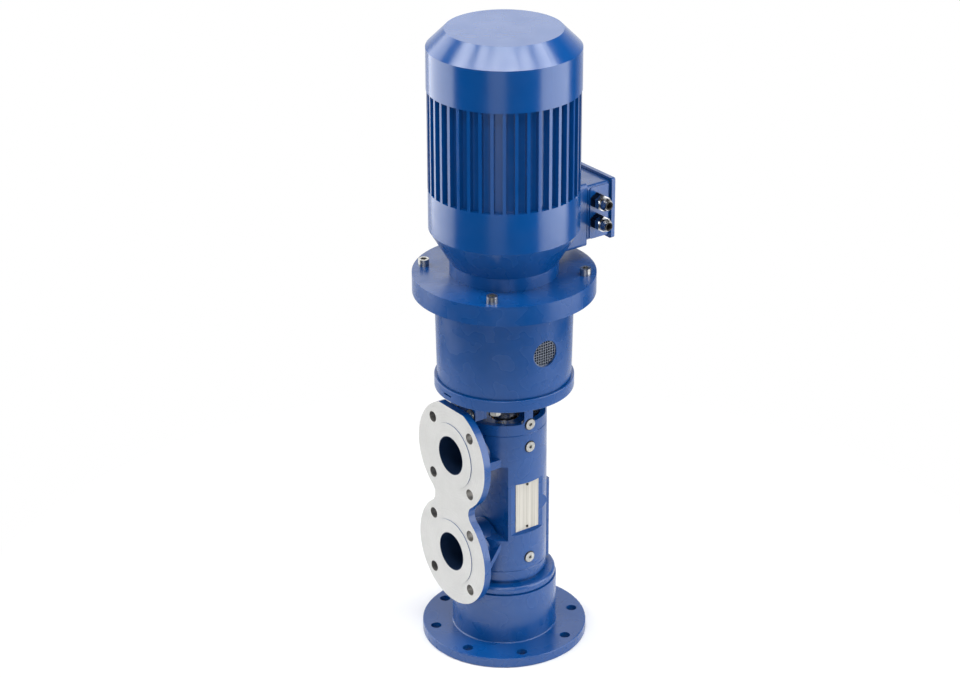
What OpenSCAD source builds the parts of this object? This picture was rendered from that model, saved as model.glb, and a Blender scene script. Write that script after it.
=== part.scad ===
// Vertical three-screw pump with its electric motor, standing on a round foot.
// The pump's axis is +Z, the origin is the centre of the foot's underside and the
// pipe ports face -Y. Lengths are in millimetres and angles in degrees.

/* [Foot] */
// Diameter of the base flange
base_d = 280; // [270:2:320]
// Thickness of the base flange
base_t = 17; // [12:1:24]
// Diameter of the circle of anchor holes
base_pcd = base_d - 40; // [230:1:280]
// Diameter of an anchor hole
base_hole_d = 18; // [12:1:20]
// Number of anchor holes
base_holes = 8; // [4:2:12]
// Diameter of the foot's barrel
barrel_d = 177; // [170:1:185]
// Height of the barrel above the base flange
barrel_h = 91; // [60:1:140]
// Wall of the barrel
barrel_wall = 12; // [8:1:14]
// Height of the rounded bead on top of the barrel
bead_h = 14; // [12:1:20]
// Height of the neck between the bead and the pump
neck_h = 6; // [4:1:12]
// Thickness of the foot's top plate
foot_plate_t = 18; // [14:1:19]

/* [Screws] */
// Outer diameter of an idler screw, which is also the distance between the screws' axes
pitch_d = 27; // [26:0.5:27]
// Lead of the threads
lead = 90; // [80:5:110]
// Length of the threads
thread_l = 131; // [110:1:134]
// Angle that the tip of one thread of the drive screw takes up
tip_angle = 64; // [56:1:72]
// Angle by which each flank is set back for running clearance
flank_gap = 1.2; // [1:0.1:2]
// Height of the screw liner
liner_h = 147; // [145:1:150]
// Wall of the screw liner
liner_wall = 5; // [4:0.5:5]

/* [Pump shaft and seal] */
// Diameter of the balance piston
piston_d = 32; // [30:1:34]
// Height of the bush around the balance piston
piston_bush_h = 16; // [12:1:18]
// Diameter of the shaft in the mechanical seal
seal_shaft_d = 28; // [27:0.5:29]
// Gap between the liner and the bush around the balance piston
piston_gap = 3.5; // [2:0.5:6]
// Height of the room for the mechanical seal
seal_room_h = 18; // [18:1:22]
// Bore of the pump's ball bearing
pump_bearing_bore = 25; // [24:1:25]
// Outer diameter of the pump's ball bearing
pump_bearing_d = 52; // [50:1:54]
// Width of the pump's ball bearing
pump_bearing_w = 15; // [14:1:16]
// Diameter of the shaft's end in the coupling
pump_shaft_d = 24; // [20:1:24]
// Outer diameter of the slinger sleeve above the bearing
sleeve_d = 42; // [34:1:44]

/* [Pump casing] */
// Diameter of the pump's barrel
pump_d = 142; // [138:1:150]
// Thickness of the bottom cover
bottom_cover_h = 17; // [14:1:24]
// Diameter of the lower chamber, below the screws
low_chamber_d = 80; // [78:1:82]
// Diameter of the upper chamber, above the screws
top_chamber_d = 92; // [92:1:94]
// Height of the lower chamber
low_chamber_h = 54; // [50:1:56]
// Height of the pump housing
housing_h = low_chamber_h + liner_h + piston_gap + piston_bush_h + seal_room_h
    + pump_bearing_w; // [248:0.5:262]
// Height of the rear pad
pad_h = 147; // [80:1:160]
// Width of the rear pad
pad_w = 62; // [40:1:70]
// Distance from the pump's axis to the rear pad's face
pad_reach = 75; // [73:1:80]

/* [Pipe ports] */
// Distance between the centres of the two pipe ports
port_spacing = 180; // [176:1:184]
// Height of the lower port's centre above the bottom of the housing
port_low = 37; // [36:1:40]
// Distance from the pump's axis to the ports' faces
port_reach = 110; // [104:1:125]
// Bore of a pipe port
port_d = 65; // [50:1:66]
// Outer diameter of a pipe flange
port_flange_d = 185; // [183:1:190]
// Thickness of the flange plate
port_plate_t = 14; // [12:1:18]
// Diameter of a port's circle of bolt holes
port_pcd = port_flange_d - 40; // [140:1:150]
// Diameter of a port's bolt hole
port_hole_d = 18; // [14:1:18]
// Diameter of a port's raised face
raised_d = 113; // [106:1:122]
// Height of a port's raised face
raised_h = 1; // [0.5:0.5:2]
// Width of the plate's waist between the ports
waist_w = 94; // [80:1:110]
// Height of the plate's flat top above the upper port's centre
plate_top = 86; // [80:1:90]
// Outer diameter of the duct behind a port
duct_d = 80; // [76:1:84]
// Distance from the pump's axis to the flat between the ports
pocket_reach = 37; // [36:1:44]

/* [Top cover] */
// Height of the closed ring at the foot of the top cover
top_ring_h = 20; // [18:1:26]
// Height of the windows
window_h = 46; // [42:0.5:56]
// Thickness of the plate inside the top cover
cup_floor_t = 8; // [6:0.5:10]
// Wall of the windowed ring
window_wall = 10; // [8:0.5:12]
// Diameter of the flange under the lantern
rim_d = 231; // [226:1:236]
// Thickness of the flange under the lantern
rim_t = 20; // [16:0.5:24]
// Diameter of the circle of lantern studs
stud_pcd = rim_d - 31; // [190:1:210]
// Width of the front boss
front_boss_w = 68; // [64:1:72]
// Height of the front boss
front_boss_h = 34.5; // [30:0.5:38]
// Distance from the pump's axis to the front boss's face
front_boss_reach = 84; // [80:1:88]

/* [Lantern and coupling] */
// Height of the lantern
lantern_h = 165.5; // [160:0.5:190]
// Outer diameter of the lantern at its foot
lantern_d = rim_d - 9; // [214:1:230]
// Outer diameter of the lantern under its flange
lantern_top_d = lantern_d + 6; // [220:1:236]
// Wall of the lantern
lantern_wall = 8; // [6:0.5:10]
// Thickness of the lantern's floor
lantern_floor_t = 14; // [10:1:18]
// Diameter of a vent in the lantern
vent_d = 46; // [36:1:56]
// Height of the vents' centres above the lantern's foot
vent_up = 73.5; // [60:0.5:85]
// Pitch of the vent screens' mesh
mesh_pitch = 4.6; // [4:0.1:7]
// Width of the vent screens' wires
mesh_wire = 1.1; // [0.8:0.1:1.6]
// Outer diameter of the coupling
coupling_d = 80; // [64:1:84]
// Length of a coupling hub without its claws
hub_l = 45; // [38:1:48]
// Height of the coupling's spider
spider_h = 20; // [16:1:22]

/* [Motor] */
// Diameter of the motor flange and of the lantern's flange
motor_flange_d = 300; // [294:2:320]
// Thickness of the motor flange and of the lantern's flange
motor_flange_t = 16.5; // [14:0.5:20]
// Diameter of the circle of flange screws
motor_pcd = motor_flange_d - 35; // [255:1:290]
// Diameter of the motor's centring spigot
motor_spigot_d = lantern_top_d - 18; // [196:1:218]
// Diameter of the motor's neck above its flange
motor_neck_d = 178; // [170:1:190]
// Height of the motor's neck
motor_neck_h = 21.5; // [16:0.5:30]
// Height of the motor's cone
cone_h = 56; // [48:1:70]
// Outer diameter of the motor over its fins
motor_d = 245; // [241:1:246]
// Height of the smooth band below the fins
band_h = 67.5; // [60:0.5:90]
// Length of the fins
fin_l = 167; // [150:1:190]
// Number of cooling fins
fins = 40; // [30:2:44]
// Width of a cooling fin
fin_w = 5.5; // [4:0.5:7]
// Depth of a cooling fin
fin_depth = 9.5; // [7:0.5:10]
// Outer diameter of the fan cowl
cowl_d = 247.4; // [247:0.2:252]
// Height of the fan cowl's straight wall
cowl_h = 68.5; // [64:0.5:90]
// Width and height of the fan cowl's chamfer
cowl_chamfer = 29.5; // [20:0.5:34]
// Wall of the fan cowl
cowl_wall = 2; // [1.5:0.5:3]
// Diameter of the motor shaft's end
motor_shaft_d = 38; // [32:1:38]
// Length of the motor shaft's end below the flange
motor_shaft_l = 80; // [78:1:82]

/* [Terminal box] */
// Width of the terminal box
box_w = 100; // [90:1:106]
// Height of the terminal box
box_h = 95; // [88:1:100]
// Depth of the terminal box
box_depth = 45; // [38:1:55]
// Wall of the terminal box
box_wall = 5; // [4:0.5:6]
// Distance from the motor's axis to the back of the terminal box
box_reach = 131; // [130:1:138]
// How far the lid stands past the box on each side
lid_edge = 5; // [3:0.5:7]
// Thickness of the lid
lid_t = 7; // [6:0.5:12]
// Distance between the two cable glands
gland_spacing = 36; // [32:1:40]
// Bore of a cable gland
gland_bore = 11; // [8:1:12]

/* [Hidden] */
$fn = 96;
// Play between pieces that are fitted together
fit = 0.1;
// Radial play of what turns in a bush or bore
run = 0.06;
// Extra depth that takes a cut clear of a face
eps = 1;

// Heights of the levels of the stack, from the floor up
z_barrel = base_t + barrel_h;
z_bead = z_barrel + bead_h;
z_seat = z_bead + neck_h;
z_housing = z_seat + bottom_cover_h;
z_liner = z_housing + low_chamber_h;
z_liner_top = z_liner + liner_h;
z_cover = z_housing + housing_h;
z_cup = z_cover + cup_floor_t;
z_window = z_cover + top_ring_h;
z_rim = z_window + window_h;
z_lantern = z_rim + rim_t;
z_motor = z_lantern + lantern_h;
z_neck = z_motor + motor_flange_t;
z_cone = z_neck + motor_neck_h;
z_band = z_cone + cone_h;
z_fins = z_band + band_h;
z_cowl = z_fins + fin_l;
z_cowl_edge = z_cowl + cowl_h;
z_top = z_cowl_edge + cowl_chamfer;

// Pipe ports
z_port_low = z_housing + port_low;
z_port_top = z_port_low + port_spacing;
z_waist = (z_port_low + z_port_top) / 2;
plate_back = port_reach - port_plate_t;
flange_r = port_flange_d / 2;
// Radius of the two concave curves at the waist, which touch both flange circles
waist_curve = (waist_w * waist_w / 4 + port_spacing * port_spacing / 4 - flange_r * flange_r)
    / (2 * flange_r - waist_w);
waist_x = waist_w / 2 + waist_curve;
// Corner of the neck between the two flange circles, where the concave curves begin
waist_share = flange_r / (flange_r + waist_curve);
web_w = 107;
web_t = 14.5;
web_drop = 19.5;
z_web = z_port_top - web_drop;
floor_web_t = 7;
floor_web_up = 20;
floor_web_ridge = 8;
floor_web_slope = 55;
web_bite = 2;
z_floor_web = z_port_low + floor_web_up;
port_room = 1.5;
port_depth = port_reach - 30;
joint_groove = 0.8;

// Milled flat with the nameplate, on the +X side
flat_reach = 63;
flat_h = 95;
z_flat = z_housing + 68.5;
plate_w = 47;
plate_h = 89;
plate_t = 1;
z_plate = z_flat + 4;
rivet_d = 3;
rivet_inset = 5;
flat_boss_r = 11.5;
flat_boss_y = 30;
z_flat_boss = z_flat + 46;
pad_edge = 4;

// Screws: the drive's tip radius is 5/3 and the idler's root radius 1/3 of the pitch radius
pitch_r = pitch_d / 2;
drive_r = pitch_r * 5 / 3;
idler_root_r = pitch_r / 3;
root_gap = 0.3;
flank_steps = 4;
arc_steps = 3;
turn_step = 13;
z_thread = z_liner + 8;
z_thread_top = z_thread + thread_l;
// Angles through which the flanks are generated, and the angle that each flank spans
drive_roll = acos((5 - pow(drive_r / pitch_r, 2)) / 4);
idler_roll = acos((3 * pow(pitch_r, 2) + pow(drive_r, 2)) / (4 * pitch_r * drive_r));
flank_span = flank_angle(pitch_r, drive_roll);
tip_half = tip_angle / 2;
idler_tip_half = 90 - flank_span - tip_half;

// Lower journals
pillar_gap = 4;
z_pillar = z_liner - pillar_gap;
bush_h = 17;
drive_journal_r = 7;
idler_journal_r = 6;
bush_wall = 3;
pillar_wall = 3;
z_journal = z_pillar - bush_h - 8;
liner_pin_d = 5;
liner_pin_l = 12;

// Pump shaft above the threads, and the hub that hangs from the top cover
bearing_rise = 2;
z_bearing_top = z_cover + bearing_rise;
z_bearing = z_bearing_top - pump_bearing_w;
z_web_low = z_bearing - bearing_rise;
z_seal_room = z_web_low - seal_room_h;
z_piston_bush = z_seal_room - piston_bush_h;
hub_r = pump_bearing_d / 2 + 6;
piston_bush_r = piston_d / 2 + 6;
seal_seat_h = 5;
seal_seat_r = 20;
seal_room_r = 20.5;
seal_ring_h = 5;
seal_ring_r = 18.5;
sleeve_gap = 3.5;
z_sleeve = z_bearing_top + sleeve_gap;
sleeve_h = 46;
circlip_t = 1.5;
circlip_depth = 1.5;
spring_wire_r = 0.9;
spring_turns = 3;

// O-rings of the two covers
o_ring_r = 1.5;
spigot_h = 8;

// Screws that hold the foot and the bottom cover to the housing, and the top cover
foot_screw_d = 10;
foot_screw_pcd = 118;
foot_screws = 4;
foot_screw_grip = 18;
cover_screw_d = 8;
cover_screw_pcd = 103;
cover_screws = 4;
cover_screw_grip = 12;

// Windows of the top cover: angles of their two sides, mirrored to the -X side
windows = [[-130, -50], [-66, -9], [5, 38]];
window_corner = 7;
pry_slot_w = 19;
pry_slot_h = 3;
stud_d = 10;
stud_nut_af = 17;
stud_nut_h = 10;
z_front_boss = z_rim - front_boss_h;
front_plug_drop = 26;
front_plug_x = 22;

// Screw plugs
plug_d = 18;
plug_t = 1.5;
plug_thread_d = 13;
plug_thread_l = 9;
plug_socket = 6;
plug_seal_d = 20;
plug_seal_t = 1.2;
plug_seat = sqrt(pow(pump_d / 2, 2) - pow(plug_seal_d / 2, 2)) - 0.2;
plug_heights = [z_housing + 22, z_cover - 24, z_window - 3];

// Coupling
claws = 4;
claw_angle = 21;
claw_gap = 2;
claw_r = 21;
lobe_angle = 180 / claws - claw_angle - 1;
hub_inset = 4;
z_motor_shaft = z_motor - motor_shaft_l;
z_motor_hub = z_motor_shaft - hub_inset;
z_spider = z_motor_hub - spider_h;
z_shaft_top = z_spider;
key_w = 8;
key_h = 7;
key_out = 3;

// Motor
motor_r = motor_d / 2;
frame_core_r = motor_r - fin_depth;
frame_bore_r = frame_core_r - 8.5;
frame_spigot_r = frame_core_r - 5;
spigot_h_motor = 5;
shield_wall = 8;
motor_bearing_bore = 40;
motor_bearing_d = 80;
motor_bearing_w = 18;
z_front_bearing = z_motor + 18;
z_rear_bearing = z_cowl - 6.5;
bearing_hub_r = 50;
rotor_r = 65;
air_gap = 0.4;
stack_l = 150;
z_stack = z_band + 38;
slots = 24;
slot_w = 7;
slot_depth = 20;
winding_l = 26;
flange_screw_d = 12;
flange_screw_l = 30;
rear_shield_t = 9;
lug_angles = [63, 143, 223];
lug_w = 18;
screw_hole = 20;
fan_r = 108;
fan_blades = 9;
z_fan = z_cowl + 24;
fan_h = 34;
fin_turn = -0.6;
cowl_top_r = cowl_d / 2 - cowl_chamfer;

// Terminal box
z_box = z_band + 4.5;
box_back = box_reach + fit;
box_front = box_back + box_depth;
box_corner = 7;
gasket_t = 1.2;
saddle_w = 98;
saddle_h = 109;
z_saddle = z_box - 3;
saddle_in = 60;
gland_y = box_back + 17;
gland_thread_r = 10;
gland_af = 24;
gland_hex_h = 10;
gland_neck_h = 5;
gland_nut_h = 21;
gland_cap_h = 11;
gland_cap_r = 10.5;
cable_hole_r = 14;
z_cable_hole = z_band + 30;

blue = [0.12, 0.29, 0.58];
steel = [0.72, 0.73, 0.74];
zinc = [0.85, 0.86, 0.86];
brass = [0.72, 0.55, 0.28];
rubber = [0.08, 0.08, 0.09];
iron = [0.42, 0.43, 0.45];

// Point of a screw's flank, generated by a point at radius tip on the other screw
function flank_point(tip, roll) =
    [pitch_d * cos(roll) - tip * cos(2 * roll), tip * sin(2 * roll) - pitch_d * sin(roll)];
function flank_angle(tip, roll) = abs(atan2(flank_point(tip, roll)[1], flank_point(tip, roll)[0]));

// Point at a radius and an angle
function polar(r, a) = [r * cos(a), r * sin(a)];

// One side of a thread, from the middle of its tip to the middle of the gap: [radius, angle]
function drive_side() = concat(
    [for (i = [1:arc_steps]) [drive_r - run, (tip_half - flank_gap) * i / arc_steps]],
    [for (i = [flank_steps - 1:-1:0])
        let (roll = drive_roll * i / flank_steps)
        [norm(flank_point(pitch_r, roll)) - (i == 0 ? root_gap : 0),
         tip_half + flank_span - flank_gap - flank_angle(pitch_r, roll)]],
    [[pitch_r - root_gap, (90 + tip_half + flank_span) / 2]]);
function idler_side() = concat(
    [for (i = [1:arc_steps]) [pitch_r - run, (idler_tip_half - flank_gap) * i / arc_steps]],
    [for (i = [flank_steps - 1:-1:0])
        let (roll = idler_roll * i / flank_steps)
        [norm(flank_point(drive_r, roll)) - (i == 0 ? root_gap : 0),
         90 - tip_half - flank_gap - flank_angle(drive_r, roll)]],
    [[idler_root_r - root_gap, (90 + 90 - tip_half) / 2]]);

// Outline of a two-start screw, made of one side, its mirror image and a half turn of both
function screw_outline(side) = concat(
    [for (turn = [0, 180]) each concat(
        [for (i = [len(side) - 1:-1:0]) polar(side[i][0], turn - side[i][1])],
        [polar(side[0][0], turn)],
        [for (i = [0:len(side) - 1]) polar(side[i][0], turn + side[i][1])],
        [polar(side[len(side) - 1][0], turn + 90)])]);

// Twisted body of a screw, right-handed where hand is 1
module thread(side, hand, first) {
    turns = thread_l / lead * 360;
    rotate(first)
        linear_extrude(thread_l, twist = -hand * turns, slices = ceil(turns / turn_step), segments = 0)
            polygon(screw_outline(side));
}

module ring(outer_r, inner_r, h) {
    difference() {
        cylinder(r = outer_r, h = h);
        translate([0, 0, -eps])
            cylinder(r = inner_r, h = h + 2 * eps);
    }
}

// Copies around the axis, on a circle
module around(count, r, first = 0) {
    for (i = [0:count - 1])
        rotate(first + 360 * i / count)
            translate([r, 0, 0])
                children();
}

// Disc with a rounded rim
module soft_disc(r, h, edge) {
    rotate_extrude()
        difference() {
            square([r, h]);
            for (y = [[0, edge], [h, h - edge]])
                difference() {
                    translate([r - edge, min(y[0], y[1])])
                        square([edge + eps, edge]);
                    translate([r - edge, y[1]])
                        circle(edge);
                }
        }
}

// Block with rounded edges along Y, centred on X and Z
module soft_block(w, depth, h, corner) {
    rotate([90, 0, 0])
        translate([0, 0, -depth])
            linear_extrude(depth)
                soft_square(w, h, corner);
}
module soft_square(w, h, corner) {
    square([w - 2 * corner, h], center = true);
    square([w, h - 2 * corner], center = true);
    for (x = [-1, 1], y = [-1, 1])
        translate([x * (w / 2 - corner), y * (h / 2 - corner)])
            circle(corner);
}

module hex(af, h) {
    cylinder(d = af / cos(30), h = h, $fn = 6);
}

// Socket-head screw: the underside of its head is at the origin and its shank points down
module cap_screw(d, l) {
    difference() {
        union() {
            cylinder(d = 1.5 * d, h = d);
            translate([0, 0, -l])
                cylinder(d = d, h = l + eps);
        }
        translate([0, 0, d / 2])
            hex(0.8 * d, d);
    }
}

// Ball bearing pieces, centred on the origin
function ball_r(bore, od) = (bore + od) / 4 * 0.2;
module race_groove(bore, od) {
    rotate_extrude()
        translate([(bore + od) / 4, 0])
            circle(ball_r(bore, od) + 2 * run);
}
module outer_race(bore, od, w) {
    difference() {
        translate([0, 0, -w / 2])
            ring(od / 2, (bore + od) / 4 + 0.7 * ball_r(bore, od), w);
        race_groove(bore, od);
    }
}
module inner_race(bore, od, w) {
    difference() {
        translate([0, 0, -w / 2])
            ring((bore + od) / 4 - 0.7 * ball_r(bore, od), bore / 2 + run / 2, w);
        race_groove(bore, od);
    }
}
module ball_cage(bore, od) {
    mid = (bore + od) / 4;
    ball = ball_r(bore, od);
    difference() {
        translate([0, 0, -ball - 1.2])
            ring(mid + 0.25 * ball, mid - 0.25 * ball, 2 * ball + 2.4);
        around(9, mid - ball)
            rotate([0, 90, 0])
                cylinder(r = ball + fit, h = 2 * ball);
    }
    around(9, mid)
        sphere(ball);
}

// Places of the bearings
module at_pump_bearing() {
    translate([0, 0, z_bearing + pump_bearing_w / 2])
        children();
}
module at_motor_bearings() {
    for (z = [z_front_bearing, z_rear_bearing])
        translate([0, 0, z + motor_bearing_w / 2])
            children();
}

// Foot
module pedestal() {
    color(blue)
        difference() {
            union() {
                soft_disc(base_d / 2, base_t, 1.5);
                cylinder(d = barrel_d, h = z_barrel);
                translate([0, 0, base_t])
                    foot_fillet(barrel_d / 2, 2);
                translate([0, 0, z_barrel - eps])
                    soft_disc(barrel_d / 2 - 2, bead_h + eps, 5);
                cylinder(d = pump_d - 8, h = z_seat);
            }
            translate([0, 0, -eps])
                cylinder(d = barrel_d - 2 * barrel_wall, h = z_seat - foot_plate_t + eps);
            at_base_holes()
                cylinder(d = base_hole_d, h = base_t + 2 * eps);
            at_foot_screws(z_seat - foot_plate_t - eps)
                cylinder(d = foot_screw_d + 1, h = foot_plate_t + 2 * eps);
        }
}
module foot_fillet(r, size) {
    rotate_extrude()
        translate([r - eps, 0])
            difference() {
                square([size + eps, size]);
                translate([size + eps, size])
                    circle(size);
            }
}
module at_base_holes() {
    around(base_holes, base_pcd / 2, 180 / base_holes - 90)
        translate([0, 0, -eps])
            children();
}
module at_foot_screws(z) {
    translate([0, 0, z])
        around(foot_screws, foot_screw_pcd / 2, 180 / foot_screws)
            children();
}
module foot_screws() {
    color(zinc)
        at_foot_screws(z_seat - foot_plate_t)
            mirror([0, 0, 1])
                cap_screw(foot_screw_d, foot_plate_t + bottom_cover_h + foot_screw_grip);
}

// Bottom cover with the pillars that carry the lower journals
module at_screw_axes() {
    for (x = [-pitch_d, 0, pitch_d])
        translate([x, 0, 0])
            let ($journal_r = x == 0 ? drive_journal_r : idler_journal_r)
                children();
}
module bottom_cover() {
    color(blue)
        difference() {
            union() {
                translate([0, 0, z_seat])
                    cylinder(d = pump_d, h = bottom_cover_h);
                rear_pad(z_seat, bottom_cover_h);
                translate([0, 0, z_seat])
                    cylinder(d = low_chamber_d - 2 * fit, h = bottom_cover_h + spigot_h);
                at_screw_axes()
                    translate([0, 0, z_seat + eps])
                        cylinder(r = $journal_r + bush_wall + pillar_wall, h = z_pillar - z_seat - eps);
            }
            at_screw_axes() {
                translate([0, 0, z_pillar - bush_h])
                    cylinder(r = $journal_r + bush_wall + fit / 2, h = bush_h + eps);
                translate([0, 0, z_journal - eps])
                    cylinder(r = $journal_r + eps, h = bush_h);
            }
            translate([0, 0, z_housing + spigot_h / 2])
                o_ring_groove(low_chamber_d / 2);
            at_foot_screws(z_seat - eps)
                cylinder(d = foot_screw_d + 1, h = bottom_cover_h + 2 * eps);
            joint_chamfer(z_housing);
        }
}
// Piece of the pad on the pump's rear, from a height upwards
module rear_pad(z, h) {
    translate([0, 0, z])
        linear_extrude(h)
            polygon([
                [-pad_w / 2, 0], [pad_w / 2, 0],
                [pad_w / 2, pad_reach - pad_edge], [pad_w / 2 - pad_edge, pad_reach],
                [pad_edge - pad_w / 2, pad_reach], [-pad_w / 2, pad_reach - pad_edge]
            ]);
}
// Small groove round the barrel where two pieces meet
module joint_chamfer(z) {
    translate([0, 0, z])
        rotate_extrude()
            polygon([
                [pump_d / 2 - joint_groove, 0],
                [pump_d / 2 + eps, -joint_groove - eps],
                [pump_d / 2 + eps, joint_groove + eps]
            ]);
}
module o_ring_groove(r) {
    translate([0, 0, -o_ring_r - fit])
        ring(r + eps, r - 2 * o_ring_r, 2 * (o_ring_r + fit));
}
// O-ring, flattened where it sits on its groove
module o_ring(r) {
    rotate_extrude()
        intersection() {
            translate([r - o_ring_r - fit, 0])
                circle(o_ring_r);
            translate([r - 2 * o_ring_r, -o_ring_r])
                square(2 * o_ring_r);
        }
}
module bottom_o_ring() {
    color(rubber)
        translate([0, 0, z_housing + spigot_h / 2])
            o_ring(low_chamber_d / 2);
}
module journal_bushes() {
    color(brass)
        at_screw_axes()
            translate([0, 0, z_pillar - bush_h])
                ring($journal_r + bush_wall, $journal_r + run, bush_h);
}

// Pump housing: barrel, flange plate with two ports, ducts, webs, rear pad and flat
module pump_housing() {
    color(blue)
        difference() {
            union() {
                difference() {
                    translate([0, 0, z_housing])
                        cylinder(d = pump_d, h = housing_h);
                    pocket();
                }
                rear_pad(z_housing, pad_h - bottom_cover_h);
                flat_boss();
                ducts();
                webs();
                flange_plate();
            }
            housing_bores();
            port_bores();
            nameplate_flat();
            joint_chamfer(z_housing);
            joint_chamfer(z_cover);
            at_plug(0)
                plug_hole();
            at_plug(1)
                plug_hole();
        }
}
module pocket() {
    side = pump_d / 2;
    translate([0, -pocket_reach, 0])
        rotate([90, 0, 0])
            linear_extrude(pump_d)
                polygon([[-side, z_floor_web], [0, z_floor_web + floor_web_ridge], [side, z_floor_web],
                    [side, z_web], [-side, z_web]]);
}
module ducts() {
    intersection() {
        for (z = [z_port_low, z_port_top])
            translate([0, -port_depth / 2, z])
                rotate([90, 0, 0])
                    cylinder(d = duct_d, h = plate_back - port_depth / 2 + eps);
        translate([-duct_d, -port_reach, z_housing])
            cube([2 * duct_d, port_reach, housing_h]);
    }
}
module webs() {
    translate([-web_w / 2, -plate_back, z_web])
        cube([web_w, plate_back - pocket_reach, web_t]);
    // The lower web has a low ridge and slopes down from the barrel to the plate
    half = web_w / 2;
    intersection() {
        translate([-half, -plate_back, z_seat])
            cube([web_w, plate_back - pocket_reach, z_waist - z_seat]);
        translate([0, web_bite - sqrt(pow(pump_d / 2, 2) - half * half), z_floor_web + 1])
            rotate([90 + floor_web_slope, 0, 0])
                linear_extrude(2 * plate_back)
                    polygon([[-half, -floor_web_t], [half, -floor_web_t], [half, 0],
                        [0, floor_web_ridge * cos(floor_web_slope)], [-half, 0]]);
    }
}
module flange_plate() {
    translate([0, -plate_back, 0])
        rotate([90, 0, 0])
            linear_extrude(port_plate_t - raised_h)
                plate_outline();
    at_ports(plate_back)
        cylinder(d = raised_d, h = port_plate_t);
}
module plate_outline() {
    intersection() {
        difference() {
            union() {
                for (z = [z_port_low, z_port_top])
                    translate([0, z])
                        circle(flange_r);
                translate([-waist_x * waist_share, z_waist - port_spacing / 2 * (1 - waist_share)])
                    square([2 * waist_x * waist_share, port_spacing * (1 - waist_share)]);
            }
            for (x = [-waist_x, waist_x])
                translate([x, z_waist])
                    circle(waist_curve);
        }
        translate([-port_flange_d, 0])
            square([2 * port_flange_d, z_port_top + plate_top]);
    }
}
// Frame of each port: its axis points out of the mouth, starting at a distance from the pump's axis
module at_ports(reach) {
    for (z = [z_port_low, z_port_top])
        translate([0, -reach, z])
            rotate([90, 0, 0])
                children();
}
module port_bores() {
    at_ports(port_reach - port_depth)
        cylinder(d = port_d, h = port_depth + eps);
    port_end(z_port_low, low_chamber_d / 2);
    port_end(z_port_top, top_chamber_d / 2);
    at_ports(plate_back - eps)
        around(4, port_pcd / 2, 45)
            cylinder(d = port_hole_d, h = port_plate_t + 2 * eps);
}
// Wider end of a port's bore, where it meets its chamber
module port_end(z, chamber_r) {
    translate([0, port_depth - port_reach, z])
        rotate([90, 0, 0])
            cylinder(d = port_d + 2 * port_room, h = chamber_r - port_reach + port_depth);
}
module housing_bores() {
    translate([0, 0, z_housing - eps])
        cylinder(d = low_chamber_d, h = low_chamber_h + eps);
    translate([0, 0, z_liner_top])
        cylinder(d = top_chamber_d, h = z_cover - z_liner_top + eps);
    translate([0, 0, z_liner])
        liner_block(fit, liner_h + eps);
    at_liner_pins()
        cylinder(d = liner_pin_d + fit, h = liner_pin_l + eps);
    at_foot_screws(z_housing - eps)
        cylinder(d = foot_screw_d + 2 * fit, h = foot_screw_grip + 2 * eps);
    at_cover_screws(z_cover - cover_screw_grip - eps)
        cylinder(d = cover_screw_d + 2 * fit, h = cover_screw_grip + 2 * eps);
}
module nameplate_flat() {
    translate([flat_reach, -pump_d / 2, z_flat])
        cube([pump_d, pump_d, flat_h]);
    at_rivets()
        translate([0, 0, -6])
            cylinder(d = rivet_d + fit, h = 7);
}

// Round boss beside the flat, milled level with it
module flat_boss() {
    translate([pump_d / 4, flat_boss_y, z_flat_boss])
        rotate([0, 90, 0])
            cylinder(r = flat_boss_r, h = flat_reach - pump_d / 4);
}

// Liner with the three bores in which the screws turn
module liner_block(gap, h) {
    depth_r = drive_r + liner_wall + gap;
    end_x = pitch_d + pitch_r + liner_wall - drive_r - liner_wall;
    for (x = [-end_x, end_x])
        translate([x, 0, 0])
            cylinder(r = depth_r, h = h);
    translate([-end_x, -depth_r, 0])
        cube([2 * end_x, 2 * depth_r, h]);
}
module screw_liner() {
    color(iron)
        difference() {
            translate([0, 0, z_liner])
                liner_block(0, liner_h);
            translate([0, 0, z_liner - eps])
                cylinder(r = drive_r, h = liner_h + 2 * eps);
            for (x = [-pitch_d, pitch_d])
                translate([x, 0, z_liner - eps])
                    cylinder(r = pitch_r, h = liner_h + 2 * eps);
            at_liner_pins()
                cylinder(d = liner_pin_d + fit, h = liner_pin_l + eps);
        }
}
module at_liner_pins() {
    for (x = [-1, 1])
        translate([x * (pitch_d + pitch_r + liner_wall - 2.5), 0, z_liner - liner_pin_l / 2])
            children();
}
module liner_pins() {
    color(steel)
        at_liner_pins()
            cylinder(d = liner_pin_d, h = liner_pin_l);
}

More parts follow.
